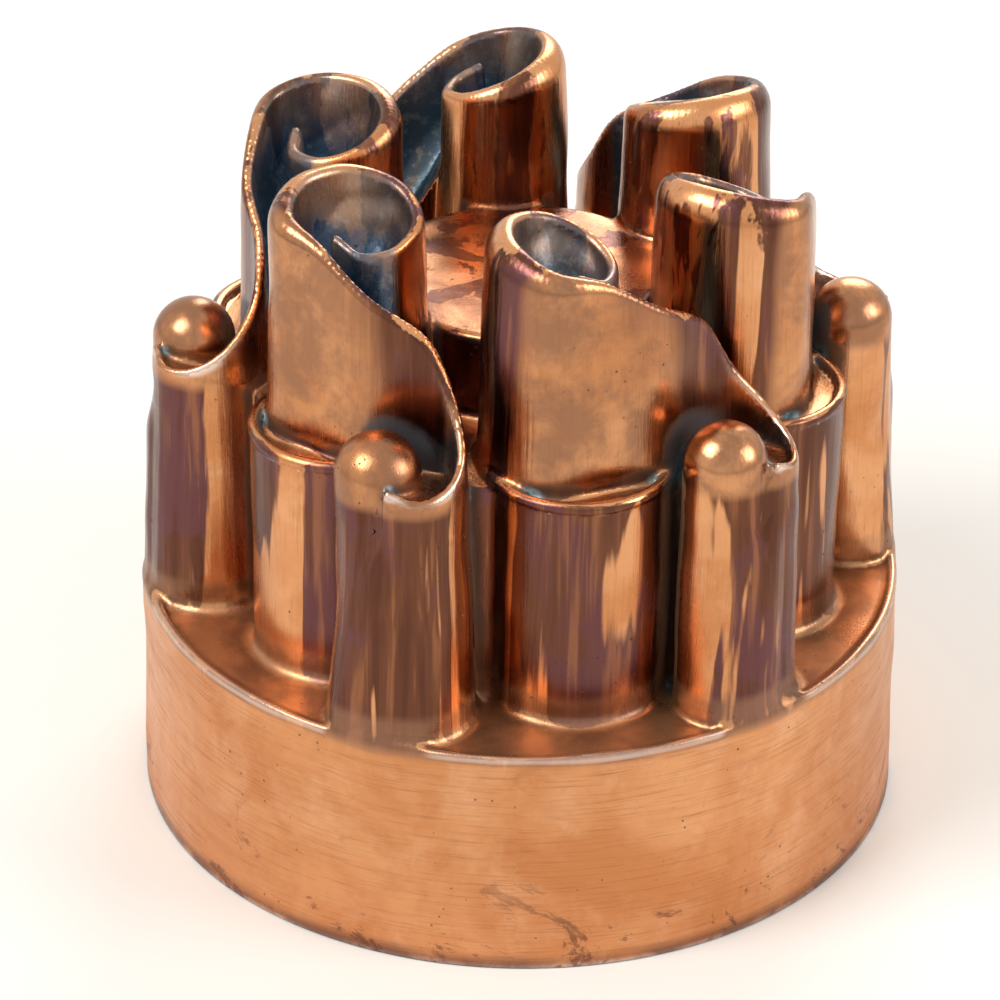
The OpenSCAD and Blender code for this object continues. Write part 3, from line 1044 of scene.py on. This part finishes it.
    def cups(self):
        """Cups and channels: grey-brown above, blue below, with teal and pale places."""
        down = self.ramp(self.height, 0.121, 0.107)
        bluer = self.ramp(self.plus(self.times(down, 0.55), self.times(self.spots, 0.9)), 0.42, 0.68)
        tone = self.mix(bluer, CUP_BROWN, CUP_BLUE)
        tone = self.mix(self.times(self.ramp(self.cloud, 0.50, 0.62), 0.6), tone, CUP_TEAL)
        tone = self.mix(self.times(self.ramp(self.fine, 0.50, 0.66), 0.55), tone, CUP_PALE)
        self.cup_in = self.times(self.cup, self.plus(self.times(down, 0.30), 0.66))
        self.lay(self.cup_in, tone)

    def seams(self):
        """Pale blue patina lines in the seams, and dark blue in the deepest places, part patina and part
        painted shade.
        """
        tone = self.mix(self.ramp(self.fine, 0.35, 0.65), BLUE_DARK, BLUE_PALE)
        line = self.ramp(self.plus(self.seam, self.swing(self.spots, 0.7)), 0.36, 0.58)
        self.line = self.times(line, self.ramp(self.height, 0.038, 0.041))
        self.lay(self.times(self.line, 0.7), tone)
        # Painted shade with patina: the deep mark darkens the deepest places towards dark blue.
        depth = self.ramp(self.plus(self.deep, self.swing(self.cloud, 0.5)), 0.55, 0.80)
        depth = self.times(depth, self.ramp(self.height, 0.046, 0.052))
        self.lay(self.times(depth, self.ramp(self.height, 0.080, 0.088, 0.10, 0.42)), BLUE_DARK)

    def worn_rims_and_highlights(self):
        """Bright worn rims, with a painted highlight on their crests."""
        self.rim_wear_and_highlight = self.times(self.ramp(self.rim, 0.55, 0.95), self.ramp(self.spots, 0.25, 0.6, 0.6, 1.0))
        self.lay(self.times(self.rim_wear_and_highlight, 0.9), RIM_WEAR_AND_HIGHLIGHT)

    def pitting(self):
        """Pits, blotches that thin out upwards, and the foot's browned edge."""
        cells = self.node("ShaderNodeTexVoronoi", feature="F1")
        self.put(cells, "Vector", self.where)
        self.put(cells, "Scale", 420.0)
        uneven = self.plus(cells.outputs["Distance"], self.swing(self.fine, 0.35))
        pit = self.ramp(uneven, 0.04, 0.12, 1.0, 0.0)
        self.pit = self.times(pit, self.ramp(self.noise(self.where, 60.0, 3.0), 0.48, 0.60))
        self.lay(self.times(self.pit, 0.85), PIT)
        blotch = self.noise(self.scaled(self.where, 1, 1, 1.6), 46.0, 6.0, 0.78, 1.0)
        blotch = self.times(self.ramp(blotch, 0.57, 0.63), self.ramp(self.height, 0.002, 0.026, 1.0, 0.12))
        self.lay(self.times(blotch, 0.72), BLOTCH)
        edge = self.ramp(self.height, 0.0004, 0.0034, 1.0, 0.0)
        edge = self.times(edge, self.ramp(self.spots, 0.3, 0.6, 0.35, 1.0))
        self.lay(self.times(edge, 0.85), BLOTCH)

    def surface(self):
        """Roughness, metal and relief. Soiled places are rougher and less metallic."""
        dull = self.most(self.soil_and_shade, self.most(self.line, self.times(self.pit, 0.8)))
        dull = self.most(dull, self.times(self.cup_in, 0.4))
        dull = self.most(dull, self.times(self.shelf, 0.30))
        rough = self.plus(self.ramp(self.cloud, 0.3, 0.7, 0.15, 0.30), self.swing(self.grain, 0.30))
        rough = self.plus(rough, self.times(self.band, 0.16))
        rough = self.plus(rough, self.times(dull, 0.26), clamp=True)
        rough = self.less(rough, self.times(self.rim_wear_and_highlight, 0.08), clamp=True)
        metallic = self.less(1.0, self.times(dull, 0.6), clamp=True)
        relief = self.plus(self.times(self.grain, 0.6), self.times(self.less(1.0, self.pit), 0.5))
        relief = self.plus(relief, self.times(self.spots, 0.5))
        self.metal(self.base, metallic, rough, relief, COPPER_RELIEF)


def tinned():
    """Dull grey tin lining, rubbed through to copper in places."""
    n = Nodes("tinned_lining")
    cloud = n.noise(n.where, 38.0, 6.0, 0.65, 0.5)
    fine = n.noise(n.where, 240.0, 5.0, 0.6)
    base = n.mix(n.ramp(cloud, 0.3, 0.72), TIN_PALE, TIN_GREY)
    worn = n.ramp(n.noise(n.where, 26.0, 6.0, 0.7, 0.8), 0.60, 0.68)
    base = n.mix(n.times(worn, 0.8), base, TIN_WORN)
    base = n.mix(n.times(n.ramp(fine, 0.55, 0.75), 0.3), base, TIN_DARK)
    return n.metal(base, 0.9, n.ramp(cloud, 0.3, 0.7, 0.42, 0.6), n.plus(cloud, fine), TIN_RELIEF)


def pale_floor():
    """Matt pale floor that keeps the mould's shadow."""
    n = Nodes("pale_floor")
    shader = n.node("ShaderNodeBsdfDiffuse")
    n.put(shader, "Color", FLOOR_TONE)
    return n.output(shader)


copper = Copper().material
tin = tinned()
for ob, material in ((outer_top, copper), (outer_low, copper), (edge_ob, copper), (inner_ob, tin)):
    ob.data.materials.append(material)
    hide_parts("mould")
    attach(ob, "root")

# Pale floor, just below the foot.
FLOOR_HALF = 3.0
FLOOR_DOWN = 0.0002
me = bpy.data.meshes.new("floor")
corners = [(x * FLOOR_HALF, y * FLOOR_HALF, 0) for x, y in ((-1, -1), (1, -1), (1, 1), (-1, 1))]
me.from_pydata(corners, [], [(0, 1, 2, 3)])
floor = bpy.data.objects.new("floor", me)
bpy.context.scene.collection.objects.link(floor)
me.materials.append(pale_floor())
floor.location.z = -FLOOR_DOWN

# Soft light from all round. The camera and the metal see it white.
ROOM_TONE = (1.0, 0.985, 0.955, 1)
ROOM_LIGHT = 0.55
SEEN_TONE = (1.0, 0.99, 0.965, 1)
SEEN_LIGHT = 1.0
world = bpy.data.worlds.new("studio")
bpy.context.scene.world = world
world.use_nodes = True
tree = world.node_tree
room = tree.nodes["Background"]
room.inputs["Color"].default_value = ROOM_TONE
room.inputs["Strength"].default_value = ROOM_LIGHT
seen = tree.nodes.new("ShaderNodeBackground")
seen.inputs["Color"].default_value = SEEN_TONE
seen.inputs["Strength"].default_value = SEEN_LIGHT
rays = tree.nodes.new("ShaderNodeLightPath")
choose = tree.nodes.new("ShaderNodeMixShader")
either = tree.nodes.new("ShaderNodeMath")
either.operation = "MAXIMUM"
tree.links.new(rays.outputs["Is Camera Ray"], either.inputs[0])
tree.links.new(rays.outputs["Is Glossy Ray"], either.inputs[1])
tree.links.new(either.outputs[0], choose.inputs[0])
tree.links.new(room.outputs[0], choose.inputs[1])
tree.links.new(seen.outputs[0], choose.inputs[2])
tree.links.new(choose.outputs[0], tree.nodes["World Output"].inputs[0])


def lamp(name, place, power, size):
    """Square soft lamp aimed at the mould's middle. Places and sizes are in m, power in W."""
    light = bpy.data.lights.new(name, "AREA")
    light.energy = power
    light.size = size
    ob = bpy.data.objects.new(name, light)
    ob.location = place
    ob.rotation_euler = (LAMP_AIM - Vector(place)).to_track_quat("-Z", "Y").to_euler()
    bpy.context.scene.collection.objects.link(ob)


LAMP_AIM = Vector((0, 0, 0.07))
lamp("key", (-0.55, -0.35, 0.75), 6.0, 0.45)
lamp("fill", (0.75, -0.25, 0.45), 3.0, 0.40)
lamp("back", (0.2, 0.8, 0.6), 4.0, 0.5)

# Camera solved from the photograph: focal length in pixels of a picture 1000 wide, tilt, roll, distance,
# height of its aim and the small offset of its frame. Lengths are shares of the shelf's radius.
FOCAL_PX = 4203.0
PICTURE_PX = 1000
SENSOR_MM = 36
TILT = math.radians(30.99)
ROLL = math.radians(0.93)
DISTANCE = 11.222 * SHELF_R * MM
AIM_Z = 0.6 * SHELF_R * MM
SHIFT = (-0.02103, 0.05954)
CLIP_NEAR = 0.01
back = Vector((0, -math.cos(TILT), math.sin(TILT)))
level = Vector((1, 0, 0))
rise = Vector((0, math.sin(TILT), math.cos(TILT)))
right = level * math.cos(ROLL) + rise * math.sin(ROLL)
up = rise * math.cos(ROLL) - level * math.sin(ROLL)
lens = bpy.data.cameras.new("camera")
camera = bpy.data.objects.new("camera", lens)
bpy.context.scene.collection.objects.link(camera)
pose = Matrix((right, up, back)).transposed().to_4x4()
pose.translation = Vector((0, 0, AIM_Z)) + back * DISTANCE
camera.matrix_world = pose
lens.sensor_width = SENSOR_MM
lens.lens = FOCAL_PX / PICTURE_PX * SENSOR_MM
lens.shift_x, lens.shift_y = SHIFT
lens.clip_start = CLIP_NEAR
bpy.context.scene.camera = camera
bpy.context.scene.view_settings.view_transform = "Standard"
